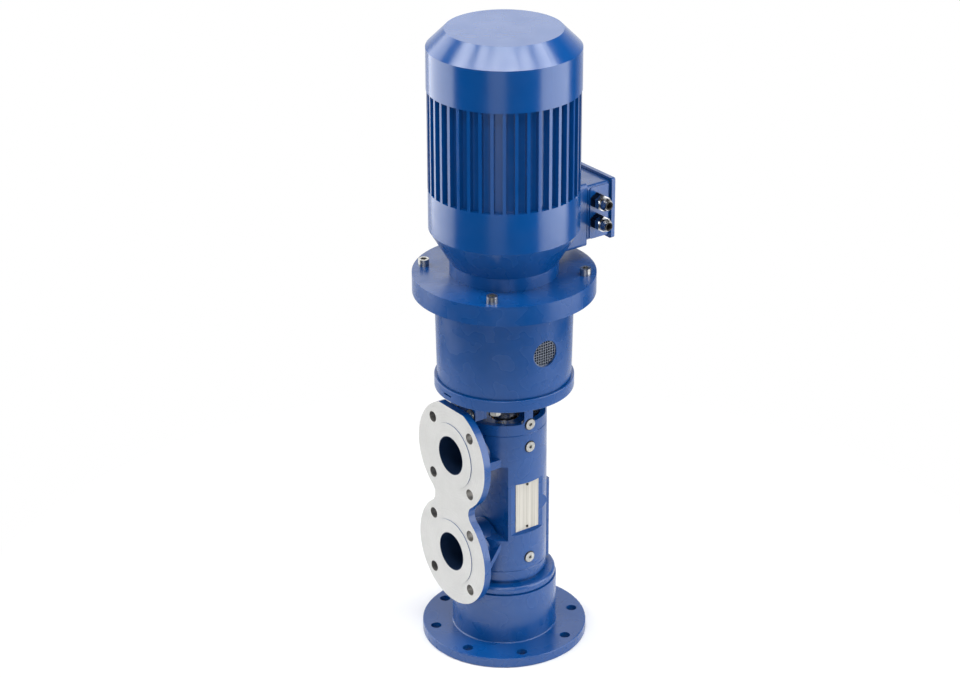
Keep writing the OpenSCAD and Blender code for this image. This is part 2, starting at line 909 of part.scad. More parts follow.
// Top cover: closed ring, windowed ring, flange, and the hub with seal and bearing
module top_cover() {
    color(blue)
        difference() {
            union() {
                cover_casting();
                translate([-front_boss_w / 2, -front_boss_reach, z_front_boss])
                    cube([front_boss_w, front_boss_reach - pump_d / 2 + window_wall, front_boss_h + eps]);
            }
            at_front_plugs()
                plug_hole();
        }
}
module cover_casting() {
    difference() {
        union() {
            translate([0, 0, z_cover])
                cylinder(d = pump_d, h = z_rim - z_cover + eps);
            translate([0, 0, z_cover - spigot_h])
                cylinder(d = top_chamber_d - 2 * fit, h = spigot_h + eps);
            translate([0, 0, z_piston_bush])
                cylinder(r = hub_r, h = z_cover - z_piston_bush + eps);
            translate([0, 0, z_rim])
                soft_disc(rim_d / 2, rim_t, 1);
        }
        translate([0, 0, z_cup])
            cylinder(d = pump_d - 2 * window_wall, h = z_rim - z_cup);
        translate([0, 0, z_rim - eps])
            cylinder(r = coupling_d / 2 + 5, h = rim_t + 2 * eps);
        for (side = [0, 1])
            mirror([side, 0, 0])
                for (w = windows)
                    window(w[0], w[1]);
        hub_bores();
        joint_chamfer(z_cover);
        translate([0, 0, z_cover - spigot_h / 2])
            o_ring_groove(top_chamber_d / 2);
        at_cover_screws(z_cover - spigot_h - eps)
            cylinder(d = cover_screw_d + 0.8, h = cup_floor_t + spigot_h + 2 * eps);
        at_studs(z_rim - eps)
            cylinder(d = stud_d + 1, h = rim_t + 2 * eps);
        at_plug(2)
            plug_hole();
        for (side = [-1, 1])
            translate([0, side * rim_d / 2, z_rim + rim_t / 2])
                cube([pry_slot_w, 8, pry_slot_h], center = true);
    }
}
module window(from, to) {
    mid = (from + to) / 2;
    w = pump_d * sin((to - from) / 2);
    h = window_h + window_corner + eps;
    rotate([0, 0, mid])
        rotate([90, 0, 90])
            translate([0, z_window + h / 2, pump_d / 5])
                linear_extrude(pump_d / 2)
                    intersection() {
                        soft_square(w, h, window_corner);
                        translate([-w, -h])
                            square([2 * w, h + h / 2 - window_corner - eps]);
                    }
}
module hub_bores() {
    translate([0, 0, z_piston_bush - eps])
        cylinder(r = piston_bush_r + fit / 2, h = piston_bush_h + eps);
    translate([0, 0, z_seal_room - eps])
        cylinder(r = seal_room_r, h = seal_room_h + eps);
    translate([0, 0, z_web_low - eps])
        cylinder(d = seal_shaft_d + 1, h = z_bearing - z_web_low + 2 * eps);
    translate([0, 0, z_bearing])
        cylinder(d = pump_bearing_d + fit, h = z_cup - z_bearing + eps);
    translate([0, 0, z_bearing_top + fit])
        cylinder(r = pump_bearing_d / 2 + circlip_depth, h = circlip_t);
}
module at_cover_screws(z) {
    translate([0, 0, z])
        around(cover_screws, cover_screw_pcd / 2, 180 / cover_screws)
            children();
}
module at_studs(z) {
    translate([0, 0, z])
        around(4, stud_pcd / 2, 45)
            children();
}
module cover_screws() {
    color(zinc)
        at_cover_screws(z_cup)
            cap_screw(cover_screw_d, cup_floor_t + cover_screw_grip);
}
module top_o_ring() {
    color(rubber)
        translate([0, 0, z_cover - spigot_h / 2])
            o_ring(top_chamber_d / 2);
}
module balance_bush() {
    color(brass)
        translate([0, 0, z_piston_bush])
            ring(piston_bush_r, piston_d / 2 + run, piston_bush_h);
}
module seal_seat() {
    color(iron)
        translate([0, 0, z_web_low - seal_seat_h])
            ring(seal_seat_r, seal_shaft_d / 2 + 0.6, seal_seat_h);
}
module pump_bearing_outer() {
    color(steel)
        at_pump_bearing()
            outer_race(pump_bearing_bore, pump_bearing_d, pump_bearing_w);
}
module bearing_circlip() {
    color(steel)
        translate([0, 0, z_bearing_top + fit])
            difference() {
                ring(pump_bearing_d / 2 + circlip_depth - fit, pump_bearing_d / 2 - 3, circlip_t);
                translate([0, -pump_bearing_d, -eps])
                    cube([4, 2 * pump_bearing_d, circlip_t + 2 * eps]);
            }
}

// Screw plugs and their seals: the origin is on the seat and +Z points out
module plug() {
    difference() {
        union() {
            translate([0, 0, plug_seal_t])
                cylinder(d = plug_d, h = plug_t);
            translate([0, 0, -plug_thread_l])
                cylinder(d = plug_thread_d, h = plug_thread_l + plug_seal_t + eps);
        }
        hex(plug_socket, plug_t + plug_seal_t + eps);
    }
}
module plug_hole() {
    cylinder(d = plug_seal_d + 1, h = plug_seal_d);
    translate([0, 0, -4 * plug_thread_l])
        cylinder(d = plug_thread_d + 2 * fit, h = 4 * plug_thread_l + eps);
}
module plug_seal() {
    ring(plug_seal_d / 2, plug_thread_d / 2 + fit, plug_seal_t);
}
module at_plug(i) {
    translate([plug_seat, 0, plug_heights[i]])
        rotate([0, 90, 0])
            children();
}
module at_front_plugs() {
    for (x = [-front_plug_x, front_plug_x])
        translate([x, -front_boss_reach, z_rim - front_plug_drop])
            rotate([90, 0, 0])
                children();
}
module at_all_plugs() {
    for (i = [0:2])
        at_plug(i)
            children();
    at_front_plugs()
        children();
}
module screw_plugs() {
    color(zinc)
        at_all_plugs()
            plug();
}
module plug_seals() {
    color(rubber)
        at_all_plugs()
            plug_seal();
}

// Nameplate, left bare
module at_rivets() {
    for (z = [rivet_inset, plate_h - rivet_inset])
        translate([flat_reach, 0, z_plate + z])
            rotate([0, 90, 0])
                children();
}
module nameplate() {
    color([0.86, 0.85, 0.8])
        difference() {
            translate([flat_reach, -plate_w / 2, z_plate])
                cube([plate_t, plate_w, plate_h]);
            at_rivets()
                translate([0, 0, -eps])
                    cylinder(d = rivet_d + fit, h = plate_t + 2 * eps);
        }
}
module nameplate_rivets() {
    color(iron)
        at_rivets() {
            translate([0, 0, -5])
                cylinder(d = rivet_d, h = 5 + plate_t);
            translate([0, 0, plate_t])
                cylinder(d = rivet_d + 1.5, h = 1);
        }
}

// Lantern between pump and motor
module lantern() {
    inner = lantern_d / 2 - lantern_wall;
    h = lantern_h - motor_flange_t;
    color(blue)
        difference() {
            rotate_extrude()
                translate([0, z_lantern])
                    difference() {
                        polygon([
                            [stud_pcd / 2 - 40, 0],
                            [lantern_d / 2 - 1.5, 0],
                            [lantern_d / 2 - 1.5, 1.5],
                            [lantern_d / 2, 1.5],
                            [lantern_top_d / 2, h],
                            [motor_flange_d / 2, h],
                            [motor_flange_d / 2, lantern_h],
                            [inner, lantern_h],
                            [inner, lantern_floor_t],
                            [stud_pcd / 2 - 40, lantern_floor_t]
                        ]);
                        translate([0, lantern_h - spigot_h_motor])
                            square([motor_spigot_d / 2 + fit, spigot_h_motor + eps]);
                    }
            at_vents(-pump_d)
                cylinder(d = vent_d, h = pump_d);
            at_flange_screws(z_motor - motor_flange_t - eps)
                cylinder(d = flange_screw_d + 2 * fit, h = motor_flange_t + 2 * eps);
            at_studs(z_lantern - eps)
                cylinder(d = stud_d + 2 * fit, h = lantern_floor_t - 2 + eps);
        }
}
// Frame of each vent: its axis points outwards from the lantern's outside
module at_vents(back) {
    for (side = [0, 180])
        rotate(side)
            translate([lantern_d / 2 + 10 + back, 0, z_lantern + vent_up])
                rotate([0, 90, 0])
                    children();
}
module vent_screens() {
    count = floor(vent_d / mesh_pitch / 2);
    color(rubber)
        at_vents(-10 - lantern_wall / 2)
            difference() {
                cylinder(d = vent_d - 2 * fit, h = 1.2);
                intersection() {
                    translate([0, 0, -eps])
                        cylinder(d = vent_d - 3, h = 4 * eps);
                    for (i = [-count:count], j = [-count:count])
                        translate([i * mesh_pitch, j * mesh_pitch, 0])
                            cube([mesh_pitch - mesh_wire, mesh_pitch - mesh_wire, 4], center = true);
                }
            }
}
module lantern_studs() {
    color(zinc)
        at_studs(z_rim - stud_nut_h) {
            cylinder(d = stud_d, h = stud_nut_h + rim_t + lantern_floor_t - 4);
            rotate(15)
                intersection() {
                    hex(stud_nut_af, stud_nut_h);
                    cylinder(d1 = stud_nut_af, d2 = stud_nut_af + 2 * stud_nut_h, h = stud_nut_h);
                }
        }
}

// Coupling between the pump shaft and the motor shaft
module sector(from_r, to_r, angle, h) {
    half = angle / 2;
    linear_extrude(h)
        intersection() {
            circle(to_r);
            polygon([polar(from_r, -half), polar(2 * to_r, -half), [2 * to_r, 0],
                polar(2 * to_r, half), polar(from_r, half)]);
        }
}
module claw_ring(first) {
    for (i = [0:claws - 1])
        rotate(first + 360 * i / claws)
            sector(claw_r, coupling_d / 2 - 0.5, claw_angle, spider_h - claw_gap + eps);
}
module pump_hub() {
    color(iron)
        difference() {
            union() {
                translate([0, 0, z_spider - hub_l])
                    cylinder(d = coupling_d, h = hub_l);
                translate([0, 0, z_spider - eps])
                    claw_ring(0);
            }
            translate([0, 0, z_spider - hub_l - eps])
                cylinder(d = pump_shaft_d + fit, h = hub_l + spider_h + 2 * eps);
            pump_key_room(fit);
            at_hub_screws(z_spider - hub_l / 2)
                cylinder(d = key_w + fit, h = coupling_d);
        }
}
module motor_hub() {
    color(iron)
        difference() {
            union() {
                translate([0, 0, z_motor_hub])
                    cylinder(d = coupling_d, h = hub_l);
                translate([0, 0, z_spider + claw_gap])
                    claw_ring(180 / claws);
            }
            translate([0, 0, z_motor_hub - eps])
                cylinder(d = motor_shaft_d + fit, h = hub_l + 2 * eps);
            motor_key_room(fit);
            at_hub_screws(z_motor_hub + hub_l / 2)
                cylinder(d = key_w + fit, h = coupling_d);
        }
}
module at_hub_screws(z) {
    translate([0, 0, z])
        rotate([90, 0, 0])
            children();
}
module hub_screws() {
    color(iron) {
        at_hub_screws(z_spider - hub_l / 2)
            translate([0, 0, pump_shaft_d / 2 + key_out + fit])
                grub_screw();
        at_hub_screws(z_motor_hub + hub_l / 2)
            translate([0, 0, motor_shaft_d / 2 + key_out + fit])
                grub_screw();
    }
}
module grub_screw() {
    difference() {
        cylinder(d = key_w, h = 12);
        translate([0, 0, 6])
            hex(4, 12);
    }
}
module coupling_spider() {
    color([0.72, 0.16, 0.12])
        translate([0, 0, z_spider + 1])
            difference() {
                union() {
                    cylinder(r = claw_r - 3 * fit, h = spider_h - 2);
                    for (i = [0:2 * claws - 1])
                        rotate(180 / claws * (i + 0.5))
                            sector(claw_r - 2, coupling_d / 2 - 0.5, lobe_angle, spider_h - 2);
                }
                translate([0, 0, -eps])
                    cylinder(r = claw_r - 5, h = spider_h + 2 * eps);
            }
}

// Keys
module pump_key_room(gap) {
    translate([-key_w / 2 - gap / 2, -pump_shaft_d / 2 - key_out - gap, z_spider - hub_l - gap])
        cube([key_w + gap, key_h + gap, hub_l + 2 * gap]);
}
module motor_key_room(gap) {
    translate([-key_w / 2 - gap / 2, -motor_shaft_d / 2 - key_out - gap, z_motor_shaft + hub_inset - gap])
        cube([key_w + gap, key_h + gap, hub_l + 2 * gap]);
}
module pump_key() {
    color(steel) {
        pump_key_room(0);
        motor_key_room(0);
    }
}

// Turning pieces of the pump
module drive_screw() {
    color(steel)
        difference() {
            union() {
                translate([0, 0, z_thread])
                    thread(drive_side(), 1, 0);
                translate([0, 0, z_journal])
                    cylinder(r = drive_journal_r, h = z_thread_top - z_journal);
                translate([0, 0, z_thread + eps])
                    cylinder(r = pitch_r - 1, h = z_piston_bush - z_thread);
                translate([0, 0, z_piston_bush - 6])
                    cylinder(d = piston_d, h = piston_bush_h + 6);
                translate([0, 0, z_seal_room - eps])
                    cylinder(d = seal_shaft_d, h = z_bearing - z_seal_room + eps);
                translate([0, 0, z_bearing - eps])
                    cylinder(d = pump_bearing_bore, h = z_sleeve - z_bearing + eps);
                translate([0, 0, z_sleeve - eps])
                    cylinder(d = pump_shaft_d, h = z_shaft_top - z_sleeve + eps);
            }
            pump_key_room(fit);
        }
}
module idler(x) {
    translate([x, 0, 0]) {
        translate([0, 0, z_thread])
            thread(idler_side(), -1, 90);
        translate([0, 0, z_journal])
            cylinder(r = idler_journal_r, h = z_thread - z_journal);
        translate([0, 0, z_thread - eps])
            cylinder(r = idler_root_r - 1, h = thread_l);
    }
}
module idler_screw_left() {
    color(steel)
        idler(-pitch_d);
}
module idler_screw_right() {
    color(steel)
        idler(pitch_d);
}
module seal_ring() {
    color(iron)
        translate([0, 0, z_web_low - seal_seat_h - seal_ring_h - fit])
            ring(seal_ring_r, seal_shaft_d / 2 + fit, seal_ring_h);
}
// Coil spring swept as a polyhedron: a ring of points every 30 degrees
module seal_spring() {
    h = seal_room_h - seal_seat_h - seal_ring_h - 4 * fit - 2 * spring_wire_r;
    mid = seal_shaft_d / 2 + 1.5 + spring_wire_r;
    sides = 6;
    steps = spring_turns * 12;
    points = [for (i = [0:steps], k = [0:sides - 1])
        let (r = mid + spring_wire_r * cos(360 * k / sides), a = 30 * i)
        [r * cos(a), r * sin(a), h * i / steps + spring_wire_r * (1 + sin(360 * k / sides))]];
    faces = concat(
        [[for (k = [0:sides - 1]) k]],
        [for (i = [0:steps - 1], k = [0:sides - 1])
            [i * sides + k, (i + 1) * sides + k, (i + 1) * sides + (k + 1) % sides]],
        [for (i = [0:steps - 1], k = [0:sides - 1])
            [i * sides + k, (i + 1) * sides + (k + 1) % sides, i * sides + (k + 1) % sides]],
        [[for (k = [sides - 1:-1:0]) steps * sides + k]]);
    color(steel)
        translate([0, 0, z_seal_room + fit])
            polyhedron(points, faces);
}
module pump_bearing_inner() {
    color(steel)
        at_pump_bearing()
            inner_race(pump_bearing_bore, pump_bearing_d, pump_bearing_w);
}
module slinger_sleeve() {
    color(iron)
        translate([0, 0, z_sleeve])
            difference() {
                soft_disc(sleeve_d / 2, sleeve_h, 3);
                translate([0, 0, -eps])
                    cylinder(d = pump_shaft_d + fit, h = sleeve_h + 2 * eps);
            }
}
module bearing_cages() {
    color(brass) {
        at_pump_bearing()
            ball_cage(pump_bearing_bore, pump_bearing_d);
        at_motor_bearings()
            ball_cage(motor_bearing_bore, motor_bearing_d);
    }
}

// Motor: fixed pieces
module at_flange_screws(z) {
    translate([0, 0, z])
        around(4, motor_pcd / 2, 45)
            children();
}
module flange_screws() {
    color(zinc)
        at_flange_screws(z_neck)
            cap_screw(flange_screw_d, flange_screw_l);
}
module drive_end_shield() {
    neck_r = motor_neck_d / 2;
    web_top = z_motor + 12;
    color(blue)
        difference() {
            rotate_extrude()
                polygon([
                    [motor_bearing_bore / 2 + 2, z_motor - spigot_h_motor],
                    [motor_spigot_d / 2, z_motor - spigot_h_motor],
                    [motor_spigot_d / 2, z_motor],
                    [motor_flange_d / 2, z_motor],
                    [motor_flange_d / 2, z_neck],
                    [neck_r, z_neck],
                    [neck_r, z_cone],
                    [motor_r, z_band],
                    [frame_spigot_r - fit, z_band],
                    [frame_spigot_r - fit, z_band + spigot_h_motor],
                    [frame_spigot_r - shield_wall, z_band + spigot_h_motor],
                    [frame_spigot_r - shield_wall, z_band - shield_wall],
                    [neck_r - shield_wall, z_cone],
                    [neck_r - shield_wall, web_top],
                    [bearing_hub_r, web_top],
                    [bearing_hub_r, z_front_bearing + motor_bearing_w + 2],
                    [motor_bearing_d / 2 + fit / 2, z_front_bearing + motor_bearing_w + 2],
                    [motor_bearing_d / 2 + fit / 2, z_front_bearing],
                    [motor_bearing_bore / 2 + 2, z_front_bearing]
                ]);
            at_flange_screws(z_motor - eps)
                cylinder(d = flange_screw_d + 1.5, h = motor_flange_t + 2 * eps);
        }
}
module stator_frame() {
    color(blue)
        difference() {
            union() {
                translate([0, 0, z_band])
                    cylinder(r = motor_r, h = band_h);
                translate([0, 0, z_band])
                    cylinder(r = frame_core_r, h = z_cowl - z_band);
                intersection() {
                    translate([0, 0, z_band])
                        cylinder(r = motor_r, h = z_cowl - z_band);
                    around(fins, 0, fin_turn)
                        translate([frame_core_r - 2, -fin_w / 2, z_fins - eps])
                            cube([fin_depth + 4, fin_w, fin_l + eps]);
                }
            }
            translate([0, 0, z_band - eps])
                cylinder(r = frame_bore_r, h = z_cowl - z_band + 2 * eps);
            translate([0, 0, z_band - eps])
                cylinder(r = frame_spigot_r, h = spigot_h_motor + 2 * eps);
            translate([0, 0, z_cowl - spigot_h_motor - eps])
                cylinder(r = frame_spigot_r, h = spigot_h_motor + 2 * eps);
            cable_passage();
        }
}
module cable_passage() {
    translate([0, frame_bore_r - 20, z_cable_hole])
        rotate([-90, 0, 0])
            cylinder(r = cable_hole_r, h = box_back + box_wall + eps - frame_bore_r + 20);
}
module stator_core() {
    color(iron)
        translate([0, 0, z_stack])
            difference() {
                ring(frame_bore_r - fit / 2, rotor_r, stack_l);
                around(slots, 0)
                    slot(0, stack_l);
            }
}
module slot(gap, h) {
    translate([rotor_r - eps, -slot_w / 2 + gap, -eps])
        cube([slot_depth + eps - gap, slot_w - 2 * gap, h + 2 * eps]);
}
module windings() {
    wire_r = rotor_r + slot_depth / 2 + 1;
    color([0.62, 0.3, 0.12])
        translate([0, 0, z_stack]) {
            for (z = [-winding_l, stack_l])
                translate([0, 0, z])
                    rotate_extrude()
                        translate([wire_r, winding_l / 2])
                            soft_square(slot_depth - 4, winding_l - 2 * fit, 5);
            around(slots, 0)
                translate([wire_r - slot_depth / 2 + 2, -slot_w / 2 + 0.3, -2])
                    cube([slot_depth - 4, slot_w - 0.6, stack_l + 4]);
        }
}
module rear_end_shield() {
    lug_r = cowl_d / 2 - cowl_wall - fit;
    color(blue)
        difference() {
            union() {
                translate([0, 0, z_cowl - spigot_h_motor])
                    cylinder(r = frame_spigot_r - fit, h = spigot_h_motor + eps);
                translate([0, 0, z_cowl])
                    cylinder(r = frame_core_r - 1, h = rear_shield_t);
                intersection() {
                    translate([0, 0, z_cowl])
                        cylinder(r = lug_r, h = rear_shield_t);
                    for (a = lug_angles)
                        rotate(a)
                            translate([0, -lug_w / 2, z_cowl])
                                cube([cowl_d, lug_w, rear_shield_t]);
                }
                translate([0, 0, z_cowl - spigot_h_motor])
                    cylinder(r = bearing_hub_r,
                        h = z_rear_bearing + motor_bearing_w + 4 - z_cowl + spigot_h_motor);
            }
            translate([0, 0, z_cowl - spigot_h_motor - eps])
                ring(frame_spigot_r - shield_wall, bearing_hub_r, spigot_h_motor + eps);
            translate([0, 0, z_rear_bearing - 2 * eps])
                cylinder(d = motor_bearing_d + fit, h = motor_bearing_w + 2 * eps);
            cylinder(d = motor_bearing_bore, h = z_top);
            at_cowl_screws()
                translate([0, 0, -12])
                    cylinder(d = 4 + 2 * fit, h = screw_hole);
        }
}
// Frame of each cowl screw: its axis points outwards from the cowl's outside
module at_cowl_screws() {
    for (a = lug_angles)
        rotate(a)
            translate([cowl_d / 2, 0, z_cowl + rear_shield_t / 2])
                rotate([0, 90, 0])
                    children();
}
module cowl_screws() {
    color(zinc)
        at_cowl_screws() {
            translate([0, 0, -10])
                cylinder(d = 4, h = 10);
            difference() {
                intersection() {
                    cylinder(d = 8, h = 2.4);
                    translate([0, 0, -4.6])
                        sphere(7);
                }
                translate([0, 0, 1])
                    hex(2.5, 4);
            }
        }
}
module motor_bearing_outers() {
    color(steel)
        at_motor_bearings()
            outer_race(motor_bearing_bore, motor_bearing_d, motor_bearing_w);
}
module fan_cowl() {
    outer = cowl_d / 2;
    color(blue)
        difference() {
            rotate_extrude()
                polygon([
                    [outer - cowl_wall, z_cowl],
                    [outer, z_cowl],
                    [outer, z_cowl_edge],
                    [cowl_top_r, z_top],
                    [0, z_top],
                    [0, z_top - cowl_wall],
                    [cowl_top_r - cowl_wall / 2, z_top - cowl_wall],
                    [outer - cowl_wall, z_cowl_edge - cowl_wall / 2]
                ]);
            at_cowl_screws()
                translate([0, 0, -3 * cowl_wall])
                    cylinder(d = 4 + 2 * fit, h = 4 * cowl_wall);
        }
}

// Motor: turning pieces
module motor_shaft() {
    bearing_top = z_front_bearing + motor_bearing_w;
    color(steel)
        difference() {
            union() {
                translate([0, 0, z_motor_shaft])
                    cylinder(d = motor_shaft_d, h = motor_shaft_l);
                translate([0, 0, z_motor - spigot_h_motor])
                    cylinder(d = motor_bearing_bore,
                        h = z_rear_bearing + motor_bearing_w - z_motor + spigot_h_motor);
                translate([0, 0, bearing_top + fit])
                    cylinder(d = motor_bearing_bore + 8, h = z_rear_bearing - bearing_top - 2 * fit);
                translate([0, 0, z_rear_bearing])
                    cylinder(d = 30, h = z_fan + fan_h - 2 - z_rear_bearing);
            }
            motor_key_room(fit);
        }
}
module rotor_core() {
    color(iron)
        translate([0, 0, z_stack - 12])
            difference() {
                union() {
                    translate([0, 0, 12])
                        cylinder(r = rotor_r - air_gap, h = stack_l);
                    cylinder(r = rotor_r - 6, h = stack_l + 24);
                }
                translate([0, 0, -eps])
                    cylinder(d = motor_bearing_bore + 8 + fit, h = stack_l + 24 + 2 * eps);
            }
}
module motor_bearing_inners() {
    color(steel)
        at_motor_bearings()
            inner_race(motor_bearing_bore, motor_bearing_d, motor_bearing_w);
}
module cooling_fan() {
    color(rubber)
        translate([0, 0, z_fan])
            difference() {
                union() {
                    cylinder(r = 28, h = fan_h - 4);
                    cylinder(r = fan_r - 30, h = 3);
                    around(fan_blades, 0)
                        translate([20, -1.5, 0])
                            cube([fan_r - 20, 3, fan_h]);
                }
                translate([0, 0, -eps])
                    cylinder(d = 30 + fit, h = fan_h + 2 * eps);
            }
}

// Terminal box on the +Y side
module terminal_saddle() {
    color(blue)
        difference() {
            translate([0, saddle_in, z_saddle])
                soft_block(saddle_w, box_reach - saddle_in, saddle_h, 6);
            rotate_extrude()
                polygon([
                    [0, z_cone - 2 * motor_neck_h],
                    [motor_neck_d / 2 + fit, z_cone - 2 * motor_neck_h],
                    [motor_neck_d / 2 + fit, z_cone],
                    [motor_r + fit, z_band],
                    [motor_r + fit, z_fins],
                    [0, z_fins]
                ]);
            cable_passage();
        }
}
module terminal_box() {
    color(blue)
        difference() {
            union() {
                translate([0, box_back, z_box])
                    soft_block(box_w, box_depth, box_h, box_corner);
                translate([box_w / 2 - 1, box_back + box_depth / 2, z_box])
                    rotate([0, 0, -90])
                        soft_block(box_depth - 8, 3, box_h - 6, 4);
            }
            translate([0, box_back + box_wall, z_box])
                soft_block(box_w - 2 * box_wall, box_depth, box_h - 2 * box_wall, 3);
            cable_passage();
            at_glands(-2 * box_wall)
                cylinder(r = gland_thread_r + fit, h = 4 * box_wall);
            at_lid_screws(-14)
                cylinder(d = 5 + 2 * fit, h = 15);
        }
}
// Frame of each gland: its axis points out of the box's +X wall
module at_glands(out) {
    for (side = [-1, 1])
        translate([box_w / 2 + 2 + out, gland_y, z_box + 3 + side * gland_spacing / 2])
            rotate([0, 90, 0])
                children();
}
module at_lid_screws(out) {
    for (x = [-1, 1], z = [-1, 1])
        translate([x * (box_w / 2 - 4.5), box_front + out, z_box + z * (box_h / 2 - 4.5)])
            rotate([-90, 0, 0])
                children();
}
module terminal_gasket() {
    color(rubber)
        difference() {
            translate([0, box_front, z_box])
                soft_block(box_w - 2, gasket_t, box_h - 2, box_corner);
            translate([0, box_front - eps, z_box])
                soft_block(box_w - 2 * box_wall, gasket_t + 2 * eps, box_h - 2 * box_wall, 3);
            at_lid_screws(-eps)
                cylinder(d = 5 + 2 * fit, h = gasket_t + 2 * eps);
        }
}
module terminal_lid() {
    color(blue)
        difference() {
            translate([0, box_front + gasket_t, z_box])
                soft_block(box_w + 2 * lid_edge, lid_t, box_h + 2 * lid_edge, 4);
            translate([0, box_front + gasket_t - eps, z_box])
                soft_block(box_w - 2 * box_wall, lid_t - 3 + eps, box_h - 2 * box_wall, 3);
            at_lid_screws(0) {
                cylinder(d = 5 + 2 * fit, h = lid_t + 2 * gasket_t);
                translate([0, 0, gasket_t + lid_t - 4])
                    cylinder(d = 9, h = 5);
            }
        }
}
module lid_screws() {
    color(zinc)
        at_lid_screws(gasket_t + lid_t - 4)
            difference() {
                union() {
                    cylinder(d = 8.4, h = 3.5);
                    translate([0, 0, -lid_t - 6])
                        cylinder(d = 5, h = lid_t + 7);
                }
                translate([0, 0, 2])
                    cube([6, 1.2, 4], center = true);
            }
}
module terminal_block() {
    color([0.2, 0.12, 0.08])
        translate([0, box_back + box_wall, z_box - 22])
            soft_block(60, 14, 34, 3);
    color(brass)
        for (x = [-20, 0, 20], z = [-30, -14])
            translate([x, box_back + box_wall + 14, z_box + z])
                rotate([-90, 0, 0]) {
                    cylinder(d = 4, h = 12);
                    hex(8, 4);
                }
}
module gland_bodies() {
    color(iron)
        at_glands(0)
            difference() {
                union() {
                    translate([0, 0, -8])
                        cylinder(r = gland_thread_r, h = 9);
                    hex(gland_af, gland_hex_h);
                    cylinder(r = gland_thread_r, h = gland_hex_h + gland_neck_h);
                }
                translate([0, 0, -8 - eps])
                    cylinder(d = gland_bore, h = 8 + gland_hex_h + gland_neck_h + 2 * eps);
            }
}
module gland_nuts() {
    color(iron)
        at_glands(gland_hex_h + 1.2)
            difference() {
                union() {
                    intersection() {
                        hex(gland_af, gland_nut_h - gland_cap_h);
                        cylinder(r1 = gland_af, r2 = gland_af / 2, h = gland_nut_h - gland_cap_h);
                    }
                    cylinder(r = gland_cap_r, h = gland_nut_h - gland_cap_h / 2);
                    translate([0, 0, gland_nut_h - gland_cap_h / 2])
                        cylinder(r1 = gland_cap_r, r2 = gland_cap_r - 2.5, h = gland_cap_h / 2);
                }
                translate([0, 0, -eps])
                    cylinder(r = gland_thread_r + fit, h = gland_neck_h + eps);
                cylinder(d = gland_bore + 4, h = gland_nut_h + eps);
            }
}
module gland_seals() {
    color(rubber)
        at_glands(gland_hex_h + gland_neck_h + fit)
            ring(gland_bore / 2 + 2 - fit, gland_bore / 2, gland_nut_h - gland_neck_h + 1.2 + 0.8);
}

pedestal();
foot_screws();
bottom_cover();
bottom_o_ring();
journal_bushes();
pump_housing();
screw_liner();
liner_pins();
top_cover();
top_o_ring();
cover_screws();
balance_bush();
seal_seat();
pump_bearing_outer();
bearing_circlip();
screw_plugs();
plug_seals();
nameplate();
nameplate_rivets();
lantern();
lantern_studs();
vent_screens();
flange_screws();
drive_end_shield();
stator_frame();
stator_core();
windings();
rear_end_shield();
motor_bearing_outers();
fan_cowl();
cowl_screws();
terminal_saddle();
terminal_box();
terminal_gasket();
terminal_lid();
lid_screws();
terminal_block();
gland_bodies();
gland_nuts();
gland_seals();
drive_screw();
pump_key();
seal_ring();
seal_spring();
pump_bearing_inner();
slinger_sleeve();
pump_hub();
coupling_spider();
motor_hub();
hub_screws();
motor_shaft();
rotor_core();
motor_bearing_inners();
cooling_fan();
bearing_cages();
idler_screw_left();
idler_screw_right();
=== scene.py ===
import math

import bmesh
import bpy
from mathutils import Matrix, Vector

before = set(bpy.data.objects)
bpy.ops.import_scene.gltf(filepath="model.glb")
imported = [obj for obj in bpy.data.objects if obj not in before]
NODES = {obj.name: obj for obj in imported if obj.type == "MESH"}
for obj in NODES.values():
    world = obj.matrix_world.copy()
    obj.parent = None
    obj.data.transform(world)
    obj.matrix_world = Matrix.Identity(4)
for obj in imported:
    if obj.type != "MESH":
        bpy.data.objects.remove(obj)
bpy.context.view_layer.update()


def linear(r, g, b):
    """A display colour of 0 to 255 as a linear colour, by the sRGB curve."""
    out = []
    for c in (r, g, b):
        c /= 255
        out.append(c / 12.92 if c <= 0.04045 else ((c + 0.055) / 1.055) ** 2.4)
    return (*out, 1.0)


# Nodes of materials and of the world

def give(tree, socket, value):
    """Links value to the socket if it is one itself, and otherwise sets the socket to it."""
    if isinstance(value, bpy.types.NodeSocket):
        tree.links.new(value, socket)
    else:
        socket.default_value = value


def add_node(tree, kind, inputs=None, **attributes):
    n = tree.nodes.new(kind)
    for key, value in attributes.items():
        setattr(n, key, value)
    for key, value in (inputs or {}).items():
        give(tree, n.inputs[key], value)
    return n


def add_math(tree, operation, a, b=0.0):
    return add_node(tree, "ShaderNodeMath", {0: a, 1: b}, operation=operation).outputs[0]


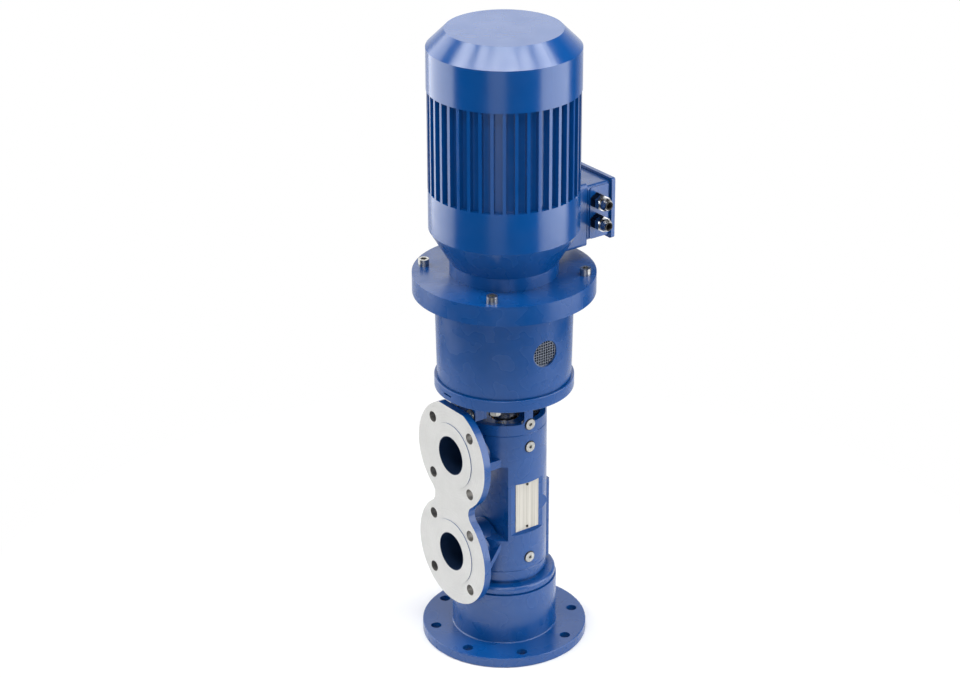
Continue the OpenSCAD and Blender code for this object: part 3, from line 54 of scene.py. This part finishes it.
class Mat:
    """A node material being built, with short calls for the nodes that it needs."""

    def __init__(self, name, **values):
        self.mat = bpy.data.materials.new(name)
        self.mat.use_nodes = True
        self.tree = self.mat.node_tree
        self.bsdf = self.tree.nodes["Principled BSDF"]
        self.coord = self.tree.nodes.new("ShaderNodeTexCoord")
        for key, value in values.items():
            self.bsdf.inputs[key.replace("_", " ")].default_value = value

    def node(self, kind, inputs=None, **attributes):
        return add_node(self.tree, kind, inputs, **attributes)

    def math(self, operation, a, b=0.0):
        return add_math(self.tree, operation, a, b)

    def set(self, socket, value):
        self.tree.links.new(value, self.bsdf.inputs[socket])

    def axis(self, which, of="Object"):
        """One axis of a point, or of its normal where that is asked for."""
        n = self.node("ShaderNodeSeparateXYZ", {"Vector": self.coord.outputs[of]})
        return n.outputs[which]

    def distance(self, a, b):
        return self.math("SQRT", self.math("ADD", self.math("MULTIPLY", a, a), self.math("MULTIPLY", b, b)))

    def noise(self, scale, detail, rough=0.5, stretch=(1, 1, 1)):
        placed = self.node("ShaderNodeMapping", {"Vector": self.coord.outputs["Object"], "Scale": stretch})
        n = self.node("ShaderNodeTexNoise", {
            "Vector": placed.outputs["Vector"], "Scale": scale, "Detail": detail, "Roughness": rough})
        return n.outputs["Fac"]

    def ramp(self, fac, low, high, a=0.0, b=1.0):
        """Takes low..high to a..b and stops there."""
        n = self.node("ShaderNodeMapRange", {
            "Value": fac, "From Min": low, "From Max": high, "To Min": a, "To Max": b})
        return n.outputs["Result"]

    def mix(self, fac, a, b):
        """Of the colours a and b; 6 and 7 are their sockets and 2 is the result's."""
        return self.node("ShaderNodeMix", {0: fac, 6: a, 7: b}, data_type="RGBA").outputs[2]

    def blend(self, fac, a, b):
        """Of the numbers a and b."""
        return self.node("ShaderNodeMix", {0: fac, 2: a, 3: b}, data_type="FLOAT").outputs[0]

    def bump(self, *layers):
        """Each layer is (height, strength, distance)."""
        last = None
        for height, strength, distance in layers:
            n = self.node("ShaderNodeBump", {"Height": height, "Strength": strength, "Distance": distance})
            if last is not None:
                give(self.tree, n.inputs["Normal"], last)
            last = n.outputs["Normal"]
        self.set("Normal", last)


# Paint

BLUE = linear(1, 66, 130)
BLUE_DEEP = linear(0, 61, 122)
BLUE_WORN = linear(44, 100, 168)
DUST_SHARE = 0.04
GLOSS = (0.22, 0.34)        # lowest and highest roughness
FINE_GLOSS = (0.19, 0.26)   # and of the motor's frame and cowl

WAVES = (0.03, 0.001)   # strength and depth of the long waves under all paint
CAST_DEPTH = 0.0008
CAST_STRENGTH = 0.04
TURNED_DEPTH = 0.0004
TURNED_STRENGTH = 0.08
GROOVES = (2, 2, 600)   # stretch that makes noise into rings round the Z axis

PLATE_Z = 0.272         # middle of the plate with both ports
PORT_RISE = 0.09        # from there to each port's axis
HOLE_STEP = 0.05127     # from a port's axis to its bolt holes, along X and along Z
HOLE_REACH = 0.0095     # just over the radius of a bolt hole
BORE_REACH = 0.0335     # and of a bore
FACE_Y = -0.1085        # the turned face lies before this
WALLS_Y = -0.06         # and the walls of holes and bores lie before this
FACING_Y = -0.5         # and its normal's Y is under this
FACE_RINGS = 900.0      # turned grooves for each metre of radius
BARE_METALLIC = 0.5


def paint(name, cast=0.0, turned=0.0, gloss=GLOSS, bare=None):
    """Blue machine enamel. cast adds the lumps of a sand casting under it, turned the fine grooves of a turned
    face round the Z axis, and bare names the test that leaves a face unpainted."""
    m = Mat(name, Specular_IOR_Level=0.65)
    patches = m.ramp(m.noise(7.0, 2.0), 0.2, 0.8)
    dust = m.ramp(m.noise(45.0, 1.0), 0.25, 0.8)
    colour = m.mix(patches, BLUE_DEEP, BLUE)
    colour = m.mix(m.math("MULTIPLY", dust, DUST_SHARE), colour, BLUE_WORN)
    roughness = m.ramp(m.noise(30.0, 1.0), 0.3, 0.75, *gloss)
    layers = [(m.noise(14.0, 0.0), *WAVES)]
    if cast:
        layers.append((m.noise(90.0, 1.0), cast, CAST_DEPTH))
    if turned:
        layers.append((m.noise(1.0, 3.0, 0.6, stretch=GROOVES), turned, TURNED_DEPTH))
    if bare:
        mask, bare_colour, bare_roughness = bare(m)
        colour = m.mix(mask, colour, bare_colour)
        roughness = m.blend(mask, roughness, bare_roughness)
        m.set("Metallic", m.math("MULTIPLY", mask, BARE_METALLIC))
    m.set("Base Color", colour)
    m.set("Roughness", roughness)
    m.bump(*layers)
    return m.mat


def port_face(m):
    """The plate's front face is bare metal, and so are the walls of its bolt holes and of its bores; both walls
    are darkened as painted shade inside the holes, the bores to a deep blue.
    """
    side = m.math("ABSOLUTE", m.axis("X"))
    level = m.math("ABSOLUTE", m.math("SUBTRACT", m.axis("Z"), PLATE_Z))
    from_port = m.math("ABSOLUTE", m.math("SUBTRACT", level, PORT_RISE))
    radius = m.distance(side, from_port)
    from_hole = m.distance(m.math("SUBTRACT", side, HOLE_STEP), m.math("SUBTRACT", from_port, HOLE_STEP))
    hole = m.math("LESS_THAN", from_hole, HOLE_REACH)
    bore = m.math("LESS_THAN", radius, BORE_REACH)
    walls = m.math("LESS_THAN", m.axis("Y"), WALLS_Y)
    face = m.math("MULTIPLY", m.math("LESS_THAN", m.axis("Y"), FACE_Y),
                  m.math("LESS_THAN", m.axis("Y", of="Normal"), FACING_Y))
    mask = m.math("MAXIMUM", face, m.math("MULTIPLY", m.math("MAXIMUM", hole, bore), walls))

    rings = m.node("ShaderNodeCombineXYZ", {0: m.math("MULTIPLY", radius, FACE_RINGS)})
    turned = m.node("ShaderNodeTexNoise", {"Vector": rings.outputs[0], "Scale": 1.0, "Detail": 3.0})
    grain = m.ramp(turned.outputs["Fac"], 0.3, 0.7)
    blotch = m.ramp(m.noise(26.0, 3.0, 0.6), 0.35, 0.7)
    colour = m.mix(grain, linear(182, 182, 180), linear(202, 202, 200))
    colour = m.mix(m.math("MULTIPLY", blotch, 0.25), colour, linear(168, 168, 166))
    # painted shade: the bare bolt-hole walls are darkened to a mid grey for the shade inside the holes
    colour = m.mix(m.math("MULTIPLY", hole, walls), colour, linear(112, 110, 106))
    # painted shade: the bore walls are darkened to a deep blue for the shade inside the bores
    colour = m.mix(m.math("MULTIPLY", bore, walls), colour, linear(6, 36, 70))
    roughness = m.ramp(m.noise(300.0, 3.0, 0.6), 0.3, 0.75, 0.42, 0.62)
    return mask, colour, roughness


# Metals, rubber and plastics

FINE_DEPTH = 0.0001     # of the relief of metal, rubber and plastics


def metal(name, low, high, gloss, grain, stretch=(1, 1, 1), bump=0.1, metallic=1.0):
    """Runs from the colour low to high in a noise of the scale grain."""
    m = Mat(name, Metallic=metallic)
    tone = m.ramp(m.noise(grain, 3.0, 0.6, stretch), 0.3, 0.72)
    m.set("Base Color", m.mix(tone, low, high))
    m.set("Roughness", m.ramp(m.noise(grain / 3, 3.0, 0.6, stretch), 0.3, 0.75, *gloss))
    m.bump((m.noise(grain * 2, 2.0, 0.6, stretch), bump, FINE_DEPTH))
    return m.mat


def dull(name, low, high, gloss, grain, bump):
    return metal(name, low, high, gloss, grain, bump=bump, metallic=0.0)


def bare_plate(name):
    """Off-white plate with a faint vertical grain and nothing written on it."""
    m = Mat(name, Metallic=0.35)
    bands = m.ramp(m.noise(1.0, 2.0, 0.5, stretch=(1, 260, 3)), 0.35, 0.65)
    fine = m.ramp(m.noise(1.0, 4.0, 0.7, stretch=(1, 1500, 30)), 0.3, 0.7)
    colour = m.mix(bands, linear(172, 169, 160), linear(198, 195, 187))
    colour = m.mix(m.math("MULTIPLY", fine, 0.25), colour, linear(152, 149, 141))
    m.set("Base Color", colour)
    m.set("Roughness", m.ramp(fine, 0.0, 1.0, 0.38, 0.55))
    m.bump((fine, 0.15, FINE_DEPTH))
    return m.mat


# Each name is followed by the colours low and high, the gloss and the grain.
MATS = {
    "cast": paint("blue_cast", cast=CAST_STRENGTH),
    "smooth": paint("blue_smooth", gloss=FINE_GLOSS),
    "turned": paint("blue_turned", turned=TURNED_STRENGTH),
    "ported": paint("blue_ported", cast=CAST_STRENGTH, bare=port_face),
    "zinc": metal("bright_zinc", linear(164, 164, 161), linear(200, 200, 196), (0.24, 0.4), 260.0),
    "steel": metal("ground_steel", linear(160, 162, 165), linear(200, 202, 204), (0.22, 0.38), 500.0,
                   stretch=(1, 1, 8)),
    "iron": metal("grey_iron", linear(70, 72, 76), linear(104, 106, 110), (0.4, 0.6), 300.0, bump=0.25),
    "bronze": metal("bronze", linear(150, 104, 52), linear(186, 136, 76), (0.25, 0.42), 300.0),
    "rubber": dull("black_rubber", linear(16, 16, 17), linear(30, 30, 31), (0.55, 0.75), 500.0, bump=0.3),
    "carbon": dull("lapped_carbon", linear(26, 26, 28), linear(44, 44, 46), (0.3, 0.45), 600.0, bump=0.1),
    "screen": metal("screen_wire", linear(104, 112, 128), linear(140, 146, 158), (0.3, 0.45), 700.0),
    "spider": dull("red_polyurethane", linear(130, 26, 18), linear(160, 40, 28), (0.35, 0.5), 200.0,
                   bump=0.15),
    "core": metal("core_sheets", linear(66, 66, 70), linear(96, 96, 100), (0.35, 0.55), 1.0,
                  stretch=(40, 40, 2200), bump=0.5),
    "copper": metal("varnished_copper", linear(134, 62, 28), linear(178, 92, 46), (0.25, 0.4), 260.0,
                    bump=0.4),
    "nylon": dull("black_nylon", linear(24, 24, 26), linear(38, 38, 40), (0.4, 0.6), 240.0, bump=0.15),
    "phenolic": dull("brown_phenolic", linear(40, 26, 18), linear(62, 42, 30), (0.35, 0.5), 200.0, bump=0.1),
    "dark": metal("dark_rivet", linear(46, 44, 42), linear(76, 74, 70), (0.35, 0.5), 300.0),
    "nickel": metal("gland_nickel", linear(140, 141, 143), linear(186, 187, 188), (0.18, 0.3), 200.0),
    "black_nickel": metal("gland_body", linear(44, 44, 48), linear(74, 74, 78), (0.25, 0.4), 200.0),
    "plate": bare_plate("plain_nameplate"),
}

LOOK = {
    "cast": ["pedestal", "bottom_cover", "top_cover", "terminal_saddle", "terminal_box", "terminal_lid"],
    "smooth": ["stator_frame", "fan_cowl", "rear_end_shield"],
    "turned": ["lantern", "drive_end_shield"],
    "ported": ["pump_housing"],
    "zinc": ["foot_screws", "cover_screws", "screw_plugs", "lantern_studs", "flange_screws", "cowl_screws",
             "lid_screws"],
    "steel": ["drive_screw", "pump_key", "seal_spring", "slinger_sleeve", "motor_shaft", "idler_screw_left",
              "idler_screw_right", "liner_pins", "pump_bearing_outer", "pump_bearing_inner",
              "motor_bearing_outers", "motor_bearing_inners"],
    "iron": ["screw_liner", "pump_hub", "motor_hub"],
    "bronze": ["journal_bushes", "balance_bush", "bearing_cages"],
    "rubber": ["bottom_o_ring", "top_o_ring", "plug_seals", "terminal_gasket", "gland_seals"],
    "carbon": ["seal_seat", "seal_ring"],
    "screen": ["vent_screens"],
    "spider": ["coupling_spider"],
    "core": ["stator_core", "rotor_core"],
    "copper": ["windings"],
    "nylon": ["cooling_fan"],
    "phenolic": ["terminal_block"],
    "dark": ["nameplate_rivets", "bearing_circlip", "hub_screws"],
    "black_nickel": ["gland_bodies"],
    "nickel": ["gland_nuts"],
    "plate": ["nameplate"],
}
for look, names in LOOK.items():
    for name in names:
        mesh = NODES[name].data
        mesh.materials.clear()
        mesh.materials.append(MATS[look])


# Camera, fitted to the photograph

WIDTH = 960                     # of the frame, in pixels
FOCAL_PX = 2625.0
CENTRE_PX = 504.2               # where the pump's axis lies straight ahead
SENSOR = 36.0                   # in mm
AZIMUTH = math.radians(53.27)   # from the ports' side (-Y) towards +X
PITCH = math.radians(24.70)     # downwards
DISTANCE = 3.913                # from the pump's axis, level
HEIGHT = 2.343

camera_data = bpy.data.cameras.new("camera")
camera_data.sensor_fit = "HORIZONTAL"
camera_data.sensor_width = SENSOR
camera_data.lens = FOCAL_PX / WIDTH * SENSOR
camera_data.shift_x = -(CENTRE_PX - WIDTH / 2) / WIDTH
camera = bpy.data.objects.new("camera", camera_data)
bpy.context.scene.collection.objects.link(camera)
camera.location = (DISTANCE * math.sin(AZIMUTH), -DISTANCE * math.cos(AZIMUTH), HEIGHT)
aim = Vector((-math.sin(AZIMUTH) * math.cos(PITCH), math.cos(AZIMUTH) * math.cos(PITCH), -math.sin(PITCH)))
camera.rotation_euler = aim.to_track_quat("-Z", "Y").to_euler()
bpy.context.scene.camera = camera


# Floor, world and lamps

WHITE = (1, 1, 1, 1)
FLOOR_LOW = (0.86, 0.86, 0.865, 1)
FLOOR_HIGH = (0.9, 0.9, 0.9, 1)
FLOOR_RADIUS = 1.1
FLOOR_SIDES = 96
FLOOR_DROP = 0.0005             # keeps it clear of the foot's underside
FLOOR_FADE = (0.3, 0.95)        # radii between which it turns white
SOFT_COLOUR = (0.9, 0.93, 1.0, 1)
SOFT_STRENGTH = 0.2
BEHIND = (0.55, 0.95)           # how far away from the camera a reflection points as the world turns white
GLOSSY_LOW = 0.01               # what is left of the white in front


def seen(tree):
    """1 for camera, glossy and transmission rays, the ones that show the white background."""
    path = tree.nodes.new("ShaderNodeLightPath")
    last = path.outputs["Is Camera Ray"]
    for other in ("Is Glossy Ray", "Is Transmission Ray"):
        last = add_math(tree, "MAXIMUM", last, path.outputs[other])
    return last


def make_floor():
    """A round pale table that keeps the shadow and turns into the white background further out."""
    shape = bmesh.new()
    bmesh.ops.create_circle(shape, cap_ends=True, segments=FLOOR_SIDES, radius=FLOOR_RADIUS)
    mesh = bpy.data.meshes.new("floor")
    shape.to_mesh(mesh)
    shape.free()
    floor = bpy.data.objects.new("floor", mesh)
    bpy.context.scene.collection.objects.link(floor)
    floor.location.z = -FLOOR_DROP
    m = Mat("pale_floor", Roughness=0.6, Specular_IOR_Level=0.2)
    m.set("Base Color", m.mix(m.ramp(m.noise(3.0, 2.0), 0.3, 0.7), FLOOR_LOW, FLOOR_HIGH))
    fade = m.ramp(m.distance(m.axis("X"), m.axis("Y")), *FLOOR_FADE)
    white = m.node("ShaderNodeEmission", {"Color": WHITE, "Strength": 1.0})
    mixer = m.node("ShaderNodeMixShader", {
        0: m.math("MULTIPLY", fade, seen(m.tree)), 1: m.bsdf.outputs[0], 2: white.outputs[0]})
    give(m.tree, m.tree.nodes["Material Output"].inputs["Surface"], mixer.outputs[0])
    mesh.materials.append(m.mat)


def make_world():
    """White for the camera. A reflection shows white behind the object and the dark studio in front of it."""
    world = bpy.data.worlds.new("studio")
    bpy.context.scene.world = world
    world.use_nodes = True
    tree = world.node_tree
    soft = tree.nodes["Background"]
    soft.inputs["Color"].default_value = SOFT_COLOUR
    soft.inputs["Strength"].default_value = SOFT_STRENGTH

    coord = tree.nodes.new("ShaderNodeTexCoord")
    split = add_node(tree, "ShaderNodeSeparateXYZ", {0: coord.outputs["Generated"]})
    away = add_math(tree, "ADD", add_math(tree, "MULTIPLY", split.outputs["X"], -math.sin(AZIMUTH)),
                    add_math(tree, "MULTIPLY", split.outputs["Y"], math.cos(AZIMUTH)))
    ramp = add_node(tree, "ShaderNodeMapRange", {
        "Value": away, "From Min": BEHIND[0], "From Max": BEHIND[1], "To Min": GLOSSY_LOW, "To Max": 1.0})
    path = tree.nodes.new("ShaderNodeLightPath")
    strength = add_math(tree, "MAXIMUM", path.outputs["Is Camera Ray"], ramp.outputs["Result"])
    white = add_node(tree, "ShaderNodeBackground", {"Color": WHITE, "Strength": strength})
    mixer = add_node(tree, "ShaderNodeMixShader", {0: seen(tree), 1: soft.outputs[0], 2: white.outputs[0]})
    give(tree, tree.nodes["World Output"].inputs["Surface"], mixer.outputs[0])


def soft_box(name, azimuth, elevation, distance, size, radiance, height):
    """A soft box that looks at the object's axis at that height. The azimuth is counted from the camera, positive
    to its right."""
    a = AZIMUTH + math.radians(azimuth)
    e = math.radians(elevation)
    data = bpy.data.lights.new(name, "AREA")
    data.shape = "RECTANGLE"
    data.size, data.size_y = size
    data.energy = radiance * math.pi * size[0] * size[1]
    lamp = bpy.data.objects.new(name, data)
    bpy.context.scene.collection.objects.link(lamp)
    lamp.visible_camera = False
    at = Vector((0, 0, height))
    lamp.location = at + distance * Vector(
        (math.sin(a) * math.cos(e), -math.cos(a) * math.cos(e), math.sin(e)))
    lamp.rotation_euler = (at - lamp.location).to_track_quat("-Z", "Y").to_euler()


make_floor()
make_world()
soft_box("strip_left", azimuth=-109, elevation=0, distance=1.9, size=(2.4, 2.4), radiance=3.2, height=1.1)
soft_box("strip_right", azimuth=80, elevation=0, distance=1.9, size=(1.9, 2.4), radiance=3.5, height=1.1)
soft_box("front_low", azimuth=-10, elevation=0, distance=3.0, size=(1.3, 1.6), radiance=0.95, height=0.4)
soft_box("front_key", azimuth=0, elevation=12, distance=2.2, size=(1.8, 0.8), radiance=4.0, height=0.7)
soft_box("top_front", azimuth=0, elevation=66, distance=1.8, size=(0.8, 0.26), radiance=14.0, height=1.0)
for side in (-1, 1):
    soft_box("top_between", azimuth=40 * side, elevation=61, distance=1.8, size=(0.8, 0.26), radiance=14.0,
             height=1.0)
    soft_box("top_side", azimuth=82 * side, elevation=50, distance=1.8, size=(0.9, 0.4), radiance=9.0,
             height=1.0)
soft_box("back", azimuth=180, elevation=25, distance=2.5, size=(2.4, 1.2), radiance=0.85, height=1.0)

bpy.context.scene.view_settings.view_transform = "Standard"

bpy.context.view_layer.update()
